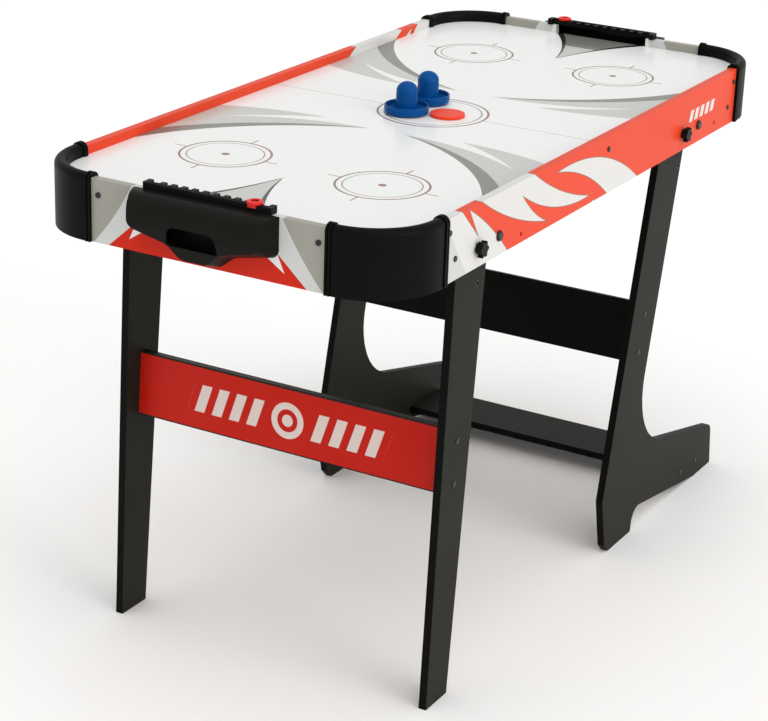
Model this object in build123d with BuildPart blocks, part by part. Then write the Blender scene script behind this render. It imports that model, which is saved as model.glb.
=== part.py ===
from build123d import *
from math import cos, radians, sin
import os

# Folding air hockey table. Frame: Z up from the floor, Y along the table, X across it.
# The near goal end is at -Y, the L-shaped legs stand at the +Y end. Millimetres.

# ---- driving dimensions -------------------------------------------------------------
TABLE_LENGTH = 1220.0  # over the outer faces of the end aprons
TABLE_WIDTH = 585.0  # over the outer faces of the side aprons
RIM_HEIGHT = 743.0  # floor to the top of the aprons
APRON_HEIGHT = 89.0
BOARD = 12.0  # thickness of every apron and leg board
PLAY_DROP = 13.0  # rim top down to the playing surface
FIELD_THICK = 9.0
CORNER_RADIUS = 100.0  # of the table's outer corners
CAP_RUN_END = 9.0  # straight part of a corner cap along the end apron
CAP_RUN_SIDE = 16.0  # and along the side apron
CAP_PROUD = 3.0  # cap skin outside and inside the boards
CAP_RISE = 5.0  # cap bead above the rim

LEG_GAP = 10.5  # between side apron and leg board
PIVOT_Y = 344.0
PIVOT_Z = 682.0
KNOB_OFFSET = (-61.0, -1.0)  # locking stud from the pivot, in Y and Z
STORE_OFFSET = (-11.0, -69.0)  # second threaded insert in each leg, from the pivot
I_FOLD = 86.0  # degrees that the straight legs turn inwards
L_FOLD = 90.0  # degrees that the L-shaped legs turn outwards
PANEL_HEIGHT = 98.0

GOAL_WIDTH = 170.0
BOX_HALF = 113.0  # half width of a goal box where it meets the apron
BOX_REACH = 36.0  # goal box beyond the end apron
BOX_WALL = 2.5
BAR_LENGTH = 200.0
BAR_HEIGHT = 10.0
BAR_DEPTH = 16.0

CHAMBER_HALF_X = 246.0
CHAMBER_HALF_Y = 480.0
CHAMBER_DEPTH = 25.0
FLOOR_THICK = 3.0
FAN_Y = 120.0
FAN_SIZE = 120.0
FAN_DEPTH = 30.0

PUSHER_RADIUS = 34.0
PUCK_RADIUS = 26.5
AIR_GAP = 0.3  # puck and pushers float this far above the surface
PUSHERS = {"near": (-30.0, -29.0), "far": (-35.0, 46.0)}
PUCK_AT = (28.0, -6.0)

# ---- derived places -----------------------------------------------------------------
half_x = TABLE_WIDTH / 2
half_y = TABLE_LENGTH / 2
apron_low = RIM_HEIGHT - APRON_HEIGHT
play_z = RIM_HEIGHT - PLAY_DROP
field_low = play_z - FIELD_THICK
inner_x = half_x - BOARD
inner_y = half_y - BOARD
arc_x = half_x - CORNER_RADIUS
arc_y = half_y - CORNER_RADIUS
leg_out = inner_x - LEG_GAP
leg_in = leg_out - BOARD
block_thick = LEG_GAP - 1.0
chamber_low = field_low - CHAMBER_DEPTH
fan_top = chamber_low - FLOOR_THICK
SIDES = {"left": -1, "right": 1}
ENDS = {"near": -1, "far": 1}
PIVOTS = [(end * PIVOT_Y, PIVOT_Z) for end in ENDS.values()]

os.makedirs("parts", exist_ok=True)


def save(builder, name):
    builder.part.label = name
    export_step(builder.part, f"parts/{name}.step")


def turned(offset, degrees):
    """A Y, Z offset after its leg has turned about the X axis."""
    a = radians(degrees)
    return (offset[0] * cos(a) - offset[1] * sin(a), offset[0] * sin(a) + offset[1] * cos(a))


def side_plane(x):
    """Sketch plane across X whose local axes are world Y and Z."""
    return Plane(origin=(x, 0, 0), x_dir=(0, 1, 0), z_dir=(1, 0, 0))


def end_plane(sy):
    """Sketch plane on the outer face of an end apron: local axes are world X and Z."""
    return Plane(origin=(0, sy * half_y, 0), x_dir=(1, 0, 0), z_dir=(0, -1, 0))


def holes_along_x(places, radius):
    """Bores through everything of the current part, at Y, Z places."""
    with BuildSketch(side_plane(-TABLE_WIDTH)) as bores:
        with Locations(*places):
            Circle(radius)
    extrude(bores.sketch, amount=2 * TABLE_WIDTH, mode=Mode.SUBTRACT)


# ---- bolt and screw places ----------------------------------------------------------
knob_places = [(y + KNOB_OFFSET[0], z + KNOB_OFFSET[1]) for y, z in PIVOTS]
fold_at = {-1: I_FOLD, 1: L_FOLD}
store_places = []
for end in ENDS.values():
    dy, dz = turned(STORE_OFFSET, fold_at[end])
    store_places.append((end * PIVOT_Y + dy, PIVOT_Z + dz))
side_screws = [(0, RIM_HEIGHT - 21)]
for end in ENDS.values():
    side_screws += [(end * 485, RIM_HEIGHT - 20), (end * 468, RIM_HEIGHT - 59)]
end_screws = [(sx * 172.0, RIM_HEIGHT - 22) for sx in SIDES.values()]

# ---- aprons -------------------------------------------------------------------------
SIDE_RUN = 2 * (arc_y - 2)
END_RUN = 2 * (arc_x - 1.5)
SCREW_R = 1.6
PIVOT_R = 4.0
PIVOT_HOLE_R = 4.2
STUD_R = 3.0
STUD_HOLE_R = 3.4
PLATE_Y = 180.0  # middle of the switch plate
plate_z = apron_low + 44
for side, sx in SIDES.items():
    with BuildPart() as side_apron:
        with BuildSketch(Plane.XY.offset(apron_low)):
            with Locations((sx * (half_x - BOARD / 2), 0)):
                Rectangle(BOARD, SIDE_RUN)
        extrude(amount=APRON_HEIGHT)
        holes_along_x(PIVOTS, PIVOT_HOLE_R)
        holes_along_x(knob_places + store_places, STUD_HOLE_R)
        holes_along_x(side_screws, SCREW_R)
        if sx < 0:  # cut-out for the switch and socket plate
            with BuildSketch(side_plane(-half_x)):
                with Locations((PLATE_Y, plate_z)):
                    Rectangle(50, 22)
            extrude(amount=BOARD, mode=Mode.SUBTRACT)
    save(side_apron, f"side_apron_{side}")

for end, sy in ENDS.items():
    with BuildPart() as end_apron:
        with BuildSketch(Plane.XY.offset(apron_low)):
            with Locations((0, sy * (half_y - BOARD / 2))):
                Rectangle(END_RUN, BOARD)
        extrude(amount=APRON_HEIGHT)
        with BuildSketch(Plane.XY.offset(field_low)):  # goal slot
            with Locations((0, sy * (half_y - BOARD / 2))):
                Rectangle(GOAL_WIDTH, BOARD + 4)
        extrude(amount=RIM_HEIGHT - field_low + 1, mode=Mode.SUBTRACT)
        with BuildSketch(end_plane(sy)):
            with Locations(*end_screws):
                Circle(SCREW_R)
        extrude(amount=sy * BOARD, mode=Mode.SUBTRACT)
    save(end_apron, f"end_apron_{end}")

# ---- corner caps --------------------------------------------------------------------
CAP_FIT = 0.2  # slack between a cap and the boards in it


def cap_profile(grow):
    """Upside-down U over the board: local x is outwards, local y is up."""
    outer = CAP_PROUD + grow
    inner = -BOARD - CAP_PROUD - grow
    radius = (outer - inner) / 2
    top = RIM_HEIGHT + CAP_RISE + grow
    with Locations(((outer + inner) / 2, apron_low)):
        Rectangle(2 * radius, top - radius - apron_low, align=(Align.CENTER, Align.MIN))
    with Locations(((outer + inner) / 2, top - radius)):
        Circle(radius)
    with Locations((-BOARD - CAP_FIT, apron_low - 1)):
        Rectangle(BOARD + 2 * CAP_FIT, APRON_HEIGHT + 1 + CAP_FIT,
                  align=(Align.MIN, Align.MIN), mode=Mode.SUBTRACT)
    with Locations((-BOARD - CAP_FIT, apron_low - 1)):
        Rectangle(CAP_PROUD + grow + 1, play_z - apron_low + 1,
                  align=(Align.MAX, Align.MIN), mode=Mode.SUBTRACT)


COLLAR = 3.0
COLLAR_STEP = 5.0
for end, sy in ENDS.items():
    for side, sx in SIDES.items():
        start = (sx * (arc_x - CAP_RUN_END), sy * half_y)
        finish = (sx * half_x, sy * (arc_y - CAP_RUN_SIDE))
        across_y = Plane(origin=(start[0], start[1], 0), x_dir=(0, sy, 0), z_dir=(sy, 0, 0))
        with BuildPart() as corner_cap:
            with BuildLine() as cap_path:
                FilletPolyline(start, (sx * half_x, sy * half_y), finish, radius=CORNER_RADIUS)
            with BuildSketch(across_y):
                cap_profile(0)
            sweep(path=cap_path.line)
            for step in (COLLAR / 2, COLLAR / 2 + COLLAR_STEP):  # the double rib at each end
                at_end = Plane(origin=(start[0] + sx * step, start[1], 0),
                               x_dir=(0, sy, 0), z_dir=(sy, 0, 0))
                at_side = Plane(origin=(finish[0], finish[1] + sy * step, 0),
                                x_dir=(sx, 0, 0), z_dir=(0, -sx, 0))
                for plane in (at_end, at_side):
                    with BuildSketch(plane):
                        cap_profile(2)
                    extrude(amount=COLLAR / 2, both=True)
        save(corner_cap, f"corner_cap_{end}_{side}")

# ---- playfield, battens, blocks -----------------------------------------------------
with BuildPart() as playfield:
    with BuildSketch(Plane.XY.offset(field_low)):
        RectangleRounded(2 * (inner_x - CAP_FIT), 2 * (inner_y - CAP_FIT),
                         CORNER_RADIUS - BOARD - CAP_FIT)
    extrude(amount=FIELD_THICK)
save(playfield, "playfield")

BATTEN = 10.0
with BuildPart() as playfield_battens:
    with BuildSketch(Plane.XY.offset(field_low - BATTEN)):
        with Locations((inner_x - block_thick / 2, 0), (-inner_x + block_thick / 2, 0)):
            Rectangle(block_thick, 2 * CHAMBER_HALF_Y)
        with Locations((0, inner_y - block_thick / 2), (0, -inner_y + block_thick / 2)):
            Rectangle(2 * arc_x - 30, block_thick)
    extrude(amount=BATTEN)
save(playfield_battens, "playfield_battens")

with BuildPart() as leg_blocks:
    for sx in SIDES.values():
        with BuildSketch(side_plane(sx * (inner_x - block_thick / 2))):
            for y, z in PIVOTS:
                with Locations((y - 20, (apron_low + 2 + field_low - BATTEN) / 2)):
                    Rectangle(104, field_low - BATTEN - apron_low - 2)
        extrude(amount=block_thick / 2, both=True)
    holes_along_x(PIVOTS, PIVOT_HOLE_R)
    holes_along_x(knob_places + store_places, STUD_HOLE_R)
save(leg_blocks, "leg_blocks")

with BuildPart() as corner_gussets:
    for sy in ENDS.values():
        for sx in SIDES.values():
            with BuildSketch(Plane.XY.offset(field_low - BATTEN - BOARD)):
                with BuildLine():
                    Polyline((sx * inner_x, sy * (arc_y - 8)), (sx * inner_x, sy * (arc_y - 38)),
                             (sx * (arc_x - 38), sy * inner_y), (sx * (arc_x - 8), sy * inner_y),
                             (sx * inner_x, sy * (arc_y - 8)))
                make_face()
            extrude(amount=BOARD)
save(corner_gussets, "corner_gussets")

STRIP = 10.0
with BuildPart() as air_chamber_frame:
    with BuildSketch(Plane.XY.offset(chamber_low)):
        with Locations((CHAMBER_HALF_X - STRIP / 2, 0), (-CHAMBER_HALF_X + STRIP / 2, 0)):
            Rectangle(STRIP, 2 * CHAMBER_HALF_Y)
        with Locations((0, CHAMBER_HALF_Y - STRIP / 2), (0, -CHAMBER_HALF_Y + STRIP / 2)):
            Rectangle(2 * (CHAMBER_HALF_X - STRIP - CAP_FIT), STRIP)
    extrude(amount=CHAMBER_DEPTH)
save(air_chamber_frame, "air_chamber_frame")

FAN_BORE = 56.0
FAN_BOLT = 52.5
fan_corners = [(FAN_BOLT * i, FAN_Y + FAN_BOLT * j) for i in (-1, 1) for j in (-1, 1)]
with BuildPart() as air_chamber_floor:
    with BuildSketch(Plane.XY.offset(fan_top)):
        Rectangle(2 * CHAMBER_HALF_X, 2 * CHAMBER_HALF_Y)
        with Locations((0, FAN_Y)):
            Circle(FAN_BORE - 2, mode=Mode.SUBTRACT)
        with Locations(*fan_corners):
            Circle(2.1, mode=Mode.SUBTRACT)
    extrude(amount=FLOOR_THICK)
save(air_chamber_floor, "air_chamber_floor")

# ---- blower -------------------------------------------------------------------------
HUB_RADIUS = 20.0
with BuildPart() as fan_housing:
    with BuildSketch(Plane.XY.offset(fan_top - FAN_DEPTH)):
        with Locations((0, FAN_Y)):
            RectangleRounded(FAN_SIZE, FAN_SIZE, 6)
            Circle(FAN_BORE, mode=Mode.SUBTRACT)
        with Locations(*fan_corners):
            Circle(2.1, mode=Mode.SUBTRACT)
    extrude(amount=FAN_DEPTH)
    with BuildSketch(Plane.XY.offset(fan_top - 3)):  # struts that carry the motor
        with Locations((0, FAN_Y)):
            Rectangle(2 * FAN_BORE + 2, 5)
            Rectangle(5, 2 * FAN_BORE + 2)
            Circle(HUB_RADIUS)
    extrude(amount=3)
save(fan_housing, "fan_housing")

with BuildPart() as fan_motor:
    with BuildSketch(Plane.XY.offset(fan_top - 13)):
        with Locations((0, FAN_Y)):
            Circle(14)
    extrude(amount=10)
    with BuildSketch(Plane.XY.offset(fan_top - 23)):
        with Locations((0, FAN_Y)):
            Circle(1.5)
    extrude(amount=10)
save(fan_motor, "fan_motor")

BLADES = 7
with BuildPart() as fan_impeller:
    with BuildSketch(Plane.XY.offset(fan_top - 26)):
        with Locations((0, FAN_Y)):
            Circle(HUB_RADIUS)
    extrude(amount=21)
    with BuildSketch(Plane.XY.offset(fan_top - 22)):
        with Locations((0, FAN_Y)):
            Circle(14.6)
    extrude(amount=17, mode=Mode.SUBTRACT)
    with BuildSketch(Plane.XY.offset(fan_top - 26)):
        with Locations((0, FAN_Y)):
            Circle(1.8)
    extrude(amount=6, mode=Mode.SUBTRACT)
    for turn in range(BLADES):
        spin = 360.0 / BLADES * turn
        blade_at = Plane(origin=(0, FAN_Y, fan_top - 15.5)).rotated((0, 0, spin))
        radial = Plane(origin=blade_at.origin, x_dir=blade_at.y_dir, z_dir=blade_at.x_dir)
        with BuildSketch(radial.offset(HUB_RADIUS - 1.5)):
            Rectangle(24, 1.8, rotation=36)
        extrude(amount=FAN_BORE - HUB_RADIUS)
save(fan_impeller, "fan_impeller")

with BuildPart() as fan_guard:
    with BuildSketch(Plane.XY.offset(fan_top - FAN_DEPTH - 2)):
        with Locations((0, FAN_Y)):
            for ring in (18, 30, 42, 54):
                Circle(ring + 1)
                Circle(ring - 1, mode=Mode.SUBTRACT)
    extrude(amount=2)
    with BuildSketch(Plane.XY.offset(fan_top - FAN_DEPTH - 2)):
        with Locations((0, FAN_Y)):
            Rectangle(146, 3, rotation=45)
            Rectangle(146, 3, rotation=-45)
        with Locations(*fan_corners):
            Circle(4)
            Circle(2.1, mode=Mode.SUBTRACT)
    extrude(amount=2)
save(fan_guard, "fan_guard")

with BuildPart() as fan_screws:
    with BuildSketch(Plane.XY.offset(fan_top - FAN_DEPTH - 2)):
        with Locations(*fan_corners):
            Circle(1.9)
    extrude(amount=FAN_DEPTH + 5)
    with BuildSketch(Plane.XY.offset(fan_top - FAN_DEPTH - 4.5)):
        with Locations(*fan_corners):
            Circle(3.8)
    extrude(amount=2.5)
save(fan_screws, "fan_screws")

# ---- goal boxes ---------------------------------------------------------------------
BOX_TOP = RIM_HEIGHT + 1
BOX_NARROWING = 12.0  # how far the ends and the belly draw in from the apron to the front
BOX_END_LOW = 689.0  # underside at the ends, at the apron
BELLY_LOW = 658.0  # underside of the tray in the middle
BELLY_HALF = 46.0
SHOULDER_LOW = 676.0  # where the sloping underside turns down into the tray
FINGER_HALF = 41.0  # opening above the tray's lip
FINGER_LOW = 685.0
FINGER_TOP = 712.0
BACK_WALL_TOP = field_low - 4


def box_front(draw_in):
    """Outline of the goal box seen from the goal, drawn in from its size at the apron."""
    half = BOX_HALF - draw_in
    belly = BELLY_HALF - draw_in / 2
    top = RIM_HEIGHT + 40  # trimmed off by the side outline
    return FilletPolyline((-half, top), (-half, BOX_END_LOW + draw_in),
                          (-belly, SHOULDER_LOW + draw_in), (-belly / 2, BELLY_LOW + draw_in),
                          (belly / 2, BELLY_LOW + draw_in), (belly, SHOULDER_LOW + draw_in),
                          (half, BOX_END_LOW + draw_in), (half, top),
                          radius=(1, 13, 30, 16, 16, 30, 13, 1), close=True)


def box_side(inset):
    """D-shaped side outline: local x is the reach from the apron, local y is up."""
    back = -2.0  # behind the apron's face, where the loft trims it
    reach = BOX_REACH - inset
    top = BOX_TOP - inset
    low = BELLY_LOW - 2 + inset
    return FilletPolyline((back, low), (back, top), (reach, top), (reach, FINGER_TOP - 8),
                          (reach - 11, low), radius=(1, 1, 26 - inset, 24, 4), close=True)


def box_body(sy, inset):
    """Solid goal box, or the hollow in it when there is an inset."""
    with BuildPart() as body:
        for reach, draw_in in ((0, inset), (BOX_REACH, BOX_NARROWING + inset)):
            with BuildSketch(end_plane(sy).offset(-sy * reach)):
                with BuildLine():
                    box_front(draw_in)
                make_face()
        loft()
        with BuildSketch(Plane(origin=(0, sy * half_y, 0), x_dir=(0, sy, 0), z_dir=(sy, 0, 0))):
            with BuildLine():
                box_side(inset)
            make_face()
        extrude(amount=BOX_HALF + 5, both=True, mode=Mode.INTERSECT)
    return body.part


for end, sy in ENDS.items():
    solid_box = box_body(sy, 0)
    hollow = box_body(sy, BOX_WALL)
    at_apron = end_plane(sy)
    with BuildPart() as goal_box:
        add(solid_box)
        add(hollow, mode=Mode.SUBTRACT)
        with BuildSketch(at_apron):  # back wall under the goal slot
            with BuildLine():
                box_front(BOX_WALL / 2)
            make_face()
            with Locations((0, BACK_WALL_TOP)):
                Rectangle(2 * BOX_HALF, 90, align=(Align.CENTER, Align.MIN), mode=Mode.SUBTRACT)
        extrude(amount=-sy * BOX_WALL)
        with BuildSketch(at_apron.offset(-sy * BOX_REACH / 2)):  # finger opening
            with BuildLine():
                FilletPolyline((-FINGER_HALF, FINGER_LOW), (-FINGER_HALF + 5, FINGER_TOP),
                               (FINGER_HALF - 5, FINGER_TOP), (FINGER_HALF, FINGER_LOW),
                               radius=(5, 12, 12, 5), close=True)
            make_face()
        extrude(amount=-sy * BOX_REACH, mode=Mode.SUBTRACT)
    save(goal_box, f"goal_box_{end}")

# ---- score bars and sliders ---------------------------------------------------------
STRIP_WIDTH = 7.0  # outer strip that carries the slider
END_BLOCK = 8.0
TRACK_HALF = 95.0
TRACK_WIDTH = 3.0
TRACK_DEPTH = 5.0
TEETH = 10
TOOTH_PITCH = 16.6
TOOTH_WIDTH = 8.0
TOOTH_THICK = 3.0
SLIDER_X = 72.0
SLIDER_RADIUS = 11.0
SLIDER_HOLE = 6.0
SLIDER_THICK = 3.6
RUN_GAP = 0.3  # between parts that slide on each other
bar_top = RIM_HEIGHT + BAR_HEIGHT
for end, sy in ENDS.items():
    strip_y = sy * (half_y - STRIP_WIDTH / 2)
    bar_y = sy * (half_y - BAR_DEPTH / 2)
    with BuildPart() as score_bar:
        with BuildSketch(Plane.XY.offset(RIM_HEIGHT)):
            with Locations((0, strip_y)):
                Rectangle(BAR_LENGTH, STRIP_WIDTH)
            for sx in SIDES.values():
                with Locations((sx * (BAR_LENGTH - END_BLOCK) / 2, bar_y)):
                    Rectangle(END_BLOCK, BAR_DEPTH)
        extrude(amount=BAR_HEIGHT)
        fillet(score_bar.edges().filter_by(Axis.Z), 1.2)
        with BuildSketch(Plane.XY.offset(bar_top - 0.5)):  # teeth that mark the count
            for tooth in range(TEETH):
                tooth_x = (tooth - (TEETH - 1) / 2) * TOOTH_PITCH
                with Locations((tooth_x, bar_y - sy * 1.5)):
                    Rectangle(TOOTH_WIDTH, BAR_DEPTH - 3)
        extrude(amount=-TOOTH_THICK)
        with BuildSketch(Plane.XY.offset(bar_top)):  # track for the slider's keel
            with Locations((0, strip_y)):
                SlotOverall(2 * TRACK_HALF, TRACK_WIDTH)
        extrude(amount=-TRACK_DEPTH, mode=Mode.SUBTRACT)
    save(score_bar, f"score_bar_{end}")

    slider_at = (-sy * SLIDER_X, sy * (half_y - 6))
    with BuildPart() as score_slider:
        with BuildSketch(Plane.XY.offset(bar_top + RUN_GAP)):
            with Locations(slider_at):
                Circle(SLIDER_RADIUS)
        extrude(amount=SLIDER_THICK)
        fillet(score_slider.edges().group_by(Axis.Z)[-1], 1.4)
        with BuildSketch(Plane.XY.offset(bar_top)):
            with Locations(slider_at):
                Circle(SLIDER_HOLE)
        extrude(amount=2 * SLIDER_THICK, mode=Mode.SUBTRACT)
        with BuildSketch(Plane.XY.offset(bar_top - TRACK_DEPTH + RUN_GAP)):  # keel in the track
            with Locations((slider_at[0], strip_y)):
                SlotOverall(2 * SLIDER_RADIUS - 3, TRACK_WIDTH - 2 * RUN_GAP)
        extrude(amount=TRACK_DEPTH + 1)
        with BuildSketch(Plane.XY.offset(bar_top - 4)):  # thumb tab outside the strip
            with Locations((slider_at[0], sy * (half_y + RUN_GAP + 1.2))):
                Rectangle(12, 2.4)
        extrude(amount=RUN_GAP + 4 + SLIDER_THICK - 1.5)
    save(score_slider, f"score_slider_{end}")

# ---- fasteners on the table top -----------------------------------------------------
HEAD_R = 4.0
HEAD_HIGH = 1.6
with BuildPart() as apron_screws:
    for sx in SIDES.values():
        outside = side_plane(sx * half_x)
        with BuildSketch(outside):
            with Locations(*side_screws):
                Circle(HEAD_R)
        extrude(amount=sx * HEAD_HIGH)
        with BuildSketch(outside):
            with Locations(*side_screws):
                Circle(SCREW_R)
        extrude(amount=-sx * BOARD)
    for sy in ENDS.values():
        with BuildSketch(end_plane(sy)):
            with Locations(*end_screws):
                Circle(HEAD_R)
        extrude(amount=-sy * HEAD_HIGH)
        with BuildSketch(end_plane(sy)):
            with Locations(*end_screws):
                Circle(SCREW_R)
        extrude(amount=sy * BOARD)
save(apron_screws, "apron_screws")

NUT_IN = 7.0
WASHER = 1.6
CAP_RADIUS = 7.5
CAP_STEP = 2.0  # straight part of a bolt cap, and the height of the domed part
with BuildPart() as pivot_bolts:
    for sx in SIDES.values():
        outside = side_plane(sx * half_x)
        with BuildSketch(outside):
            with Locations(*PIVOTS):
                Circle(CAP_RADIUS)
        extrude(amount=sx * CAP_STEP)
        with BuildSketch(outside.offset(sx * CAP_STEP)):
            with Locations(*PIVOTS):
                Circle(CAP_RADIUS)
        extrude(amount=sx * CAP_STEP, taper=40)
        with BuildSketch(outside):
            with Locations(*PIVOTS):
                Circle(PIVOT_R)
        extrude(amount=-sx * (half_x - leg_in + NUT_IN + 1))
save(pivot_bolts, "pivot_bolts")

with BuildPart() as pivot_nuts:
    for sx in SIDES.values():
        inside = side_plane(sx * (leg_in - 0.4))
        with BuildSketch(inside):
            with Locations(*PIVOTS):
                Circle(9)
                Circle(PIVOT_R + 0.05, mode=Mode.SUBTRACT)
        extrude(amount=-sx * WASHER)
        with BuildSketch(inside.offset(-sx * WASHER)):
            with Locations(*PIVOTS):
                RegularPolygon(7.5, 6)
                Circle(PIVOT_R + 0.05, mode=Mode.SUBTRACT)
        extrude(amount=-sx * (NUT_IN - WASHER))
save(pivot_nuts, "pivot_nuts")

# ---- switch and socket on the left apron --------------------------------------------
PLATE_THICK = 2.0
SWITCH_Y = PLATE_Y - 11
SOCKET_Y = PLATE_Y + 14
with BuildPart() as switch_plate:
    with BuildSketch(side_plane(-half_x)):
        with Locations((PLATE_Y, plate_z)):
            RectangleRounded(62, 34, 4)
        with Locations((SWITCH_Y, plate_z)):
            Rectangle(20, 14, mode=Mode.SUBTRACT)
        with Locations((SOCKET_Y, plate_z)):
            Circle(5.6, mode=Mode.SUBTRACT)
    extrude(amount=-PLATE_THICK)
    with BuildSketch(side_plane(-half_x)):
        with Locations((PLATE_Y, plate_z)):
            Rectangle(49, 21)
            Rectangle(45, 17, mode=Mode.SUBTRACT)
    extrude(amount=BOARD)
save(switch_plate, "switch_plate")

with BuildPart() as power_socket:
    with BuildSketch(side_plane(-half_x - PLATE_THICK)):
        with Locations((SOCKET_Y, plate_z)):
            Circle(5.4)
            Circle(3.0, mode=Mode.SUBTRACT)
    extrude(amount=13)
    with BuildSketch(side_plane(-half_x + 1)):
        with Locations((SOCKET_Y, plate_z)):
            Circle(4)
            Circle(1.2)
    extrude(amount=10)
    with BuildSketch(side_plane(-half_x - 1)):
        with Locations((SOCKET_Y, plate_z)):
            Circle(1.1)
    extrude(amount=3)
save(power_socket, "power_socket")

ROCKER_TILT = 7.0
ROCKER_HIGH = 13.0
with BuildPart() as power_rocker:
    with BuildSketch(Plane.XY.offset(plate_z - ROCKER_HIGH / 2)):
        with Locations((-half_x - PLATE_THICK / 2, SWITCH_Y)):
            Rectangle(6, 17.5, rotation=ROCKER_TILT)
    extrude(amount=ROCKER_HIGH)
save(power_rocker, "power_rocker")

# ---- straight legs at the near end --------------------------------------------------
I_FRONT = ((-451.0, 0.0), (-417.5, 692.0))
I_BACK = ((-391.0, 0.0), (-328.5, 686.0))
LEG_TOP = 708.0
I_PANEL_AT = (-395.0, 363.0)
I_LEAN = 4.0  # degrees that the straight legs lean
panel_half_bolt = 31.5
i_bolts = [(I_PANEL_AT[0] + k * panel_half_bolt * sin(radians(I_LEAN)),
            I_PANEL_AT[1] + k * panel_half_bolt * cos(radians(I_LEAN))) for k in (-1, 1)]
i_pivot = (-PIVOT_Y, PIVOT_Z)
l_pivot = (PIVOT_Y, PIVOT_Z)


def offset_from(place, offset):
    return (place[0] + offset[0], place[1] + offset[1])


BOLT_R = 3.0
BOLT_REACH = 20.0  # depth of the bores in a cross panel
INSERT_R = 5.0


def leg_holes(pivot, bolts):
    with Locations(pivot):
        Circle(PIVOT_HOLE_R, mode=Mode.SUBTRACT)
    with Locations(offset_from(pivot, KNOB_OFFSET), offset_from(pivot, STORE_OFFSET)):
        Circle(INSERT_R, mode=Mode.SUBTRACT)
    with Locations(*bolts):
        Circle(BOLT_R, mode=Mode.SUBTRACT)


for side, sx in SIDES.items():
    with BuildPart() as i_leg:
        with BuildSketch(side_plane(sx * (leg_out + leg_in) / 2)):
            with BuildLine():
                Polyline(I_FRONT[0], I_FRONT[1], (-405, LEG_TOP), (-350, LEG_TOP))
                RadiusArc((-350, LEG_TOP), I_BACK[1], 22)
                Polyline(I_BACK[1], I_BACK[0], I_FRONT[0])
            make_face()
            leg_holes(i_pivot, i_bolts)
        extrude(amount=BOARD / 2, both=True)
    save(i_leg, f"i_leg_{side}")


def bolt_bores(places):
    """Blind bores in both ends of a board that spans the legs."""
    for sx in SIDES.values():
        with BuildSketch(side_plane(sx * leg_in)) as bores:
            with Locations(*places):
                Circle(BOLT_R)
        extrude(bores.sketch, amount=-sx * BOLT_REACH, mode=Mode.SUBTRACT)


def cross_panel(centre, lean, height, places):
    """Board between a pair of legs, leaning with them."""
    across = Plane(origin=(0, centre[0], centre[1]), x_dir=(1, 0, 0),
                   z_dir=(0, -cos(radians(lean)), sin(radians(lean))))
    with BuildSketch(across) as face:
        Rectangle(2 * leg_in, height)
    extrude(face.sketch, amount=BOARD / 2, both=True)
    bolt_bores(places)


def cross_bolts(places):
    """Black bolts through the outer leg face, seated in a cross panel's slots."""
    for sx in SIDES.values():
        outside = side_plane(sx * leg_out)
        with BuildSketch(outside) as heads:
            with Locations(*places):
                Circle(4.5)
        extrude(heads.sketch, amount=sx * 0.8)
        with BuildSketch(outside) as shanks:
            with Locations(*places):
                Circle(BOLT_R - 0.1)
        extrude(shanks.sketch, amount=-sx * (BOARD + BOLT_REACH - 1))


def leg_inserts(pivot):
    """Threaded sleeves in both legs for the locking studs."""
    for sx in SIDES.values():
        with BuildSketch(side_plane(sx * (leg_out + leg_in) / 2)) as sleeves:
            with Locations(offset_from(pivot, KNOB_OFFSET), offset_from(pivot, STORE_OFFSET)):
                Circle(INSERT_R)
                Circle(STUD_R, mode=Mode.SUBTRACT)
        extrude(sleeves.sketch, amount=BOARD / 2 - 0.2, both=True)


with BuildPart() as i_leg_panel:
    cross_panel(I_PANEL_AT, I_LEAN, PANEL_HEIGHT, i_bolts)
save(i_leg_panel, "i_leg_panel")

with BuildPart() as i_leg_bolts:
    cross_bolts(i_bolts)
save(i_leg_bolts, "i_leg_bolts")

with BuildPart() as i_leg_inserts:
    leg_inserts(i_pivot)
save(i_leg_inserts, "i_leg_inserts")

# ---- L-shaped legs at the far end ---------------------------------------------------
L_LEAN = 13.2
L_PANEL_AT = (233.5, 358.0)
l_bolts = [(L_PANEL_AT[0] + k * panel_half_bolt * sin(radians(L_LEAN)),
            L_PANEL_AT[1] + k * panel_half_bolt * cos(radians(L_LEAN))) for k in (-1, 1)]
FOOT_PANEL_Y = 490.0
FOOT_PANEL_DEPTH = 102.0
FOOT_PANEL_Z = 31.0
foot_bolts = [(FOOT_PANEL_Y - 33, FOOT_PANEL_Z), (FOOT_PANEL_Y + 33, FOOT_PANEL_Z)]
L_CORNERS = (22, 120, 20, 1.5, 1.5, 26, 1.5, 3, 4, 10, 12)  # radius at each corner of the outline
for side, sx in SIDES.items():
    with BuildPart() as l_leg:
        with BuildSketch(side_plane(sx * (leg_out + leg_in) / 2)):
            with BuildLine():
                FilletPolyline((362.5, LEG_TOP), (234, 161.5), (584.5, 77.3), (595, 0), (520, 0),
                               (254.5, 41.7), (250, 0), (161, 0), (146, 15), (126, 100),
                               (266.5, LEG_TOP), radius=L_CORNERS, close=True)
            make_face()
            leg_holes(l_pivot, l_bolts + foot_bolts)
        extrude(amount=BOARD / 2, both=True)
    save(l_leg, f"l_leg_{side}")

with BuildPart() as l_leg_panel:
    cross_panel(L_PANEL_AT, L_LEAN, PANEL_HEIGHT, l_bolts)
save(l_leg_panel, "l_leg_panel")

with BuildPart() as foot_panel:
    with BuildSketch(Plane.XY.offset(FOOT_PANEL_Z - BOARD / 2)):
        with Locations((0, FOOT_PANEL_Y)):
            Rectangle(2 * leg_in, FOOT_PANEL_DEPTH)
    extrude(amount=BOARD)
    bolt_bores(foot_bolts)
save(foot_panel, "foot_panel")

with BuildPart() as l_leg_bolts:
    cross_bolts(l_bolts + foot_bolts)
save(l_leg_bolts, "l_leg_bolts")

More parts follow.
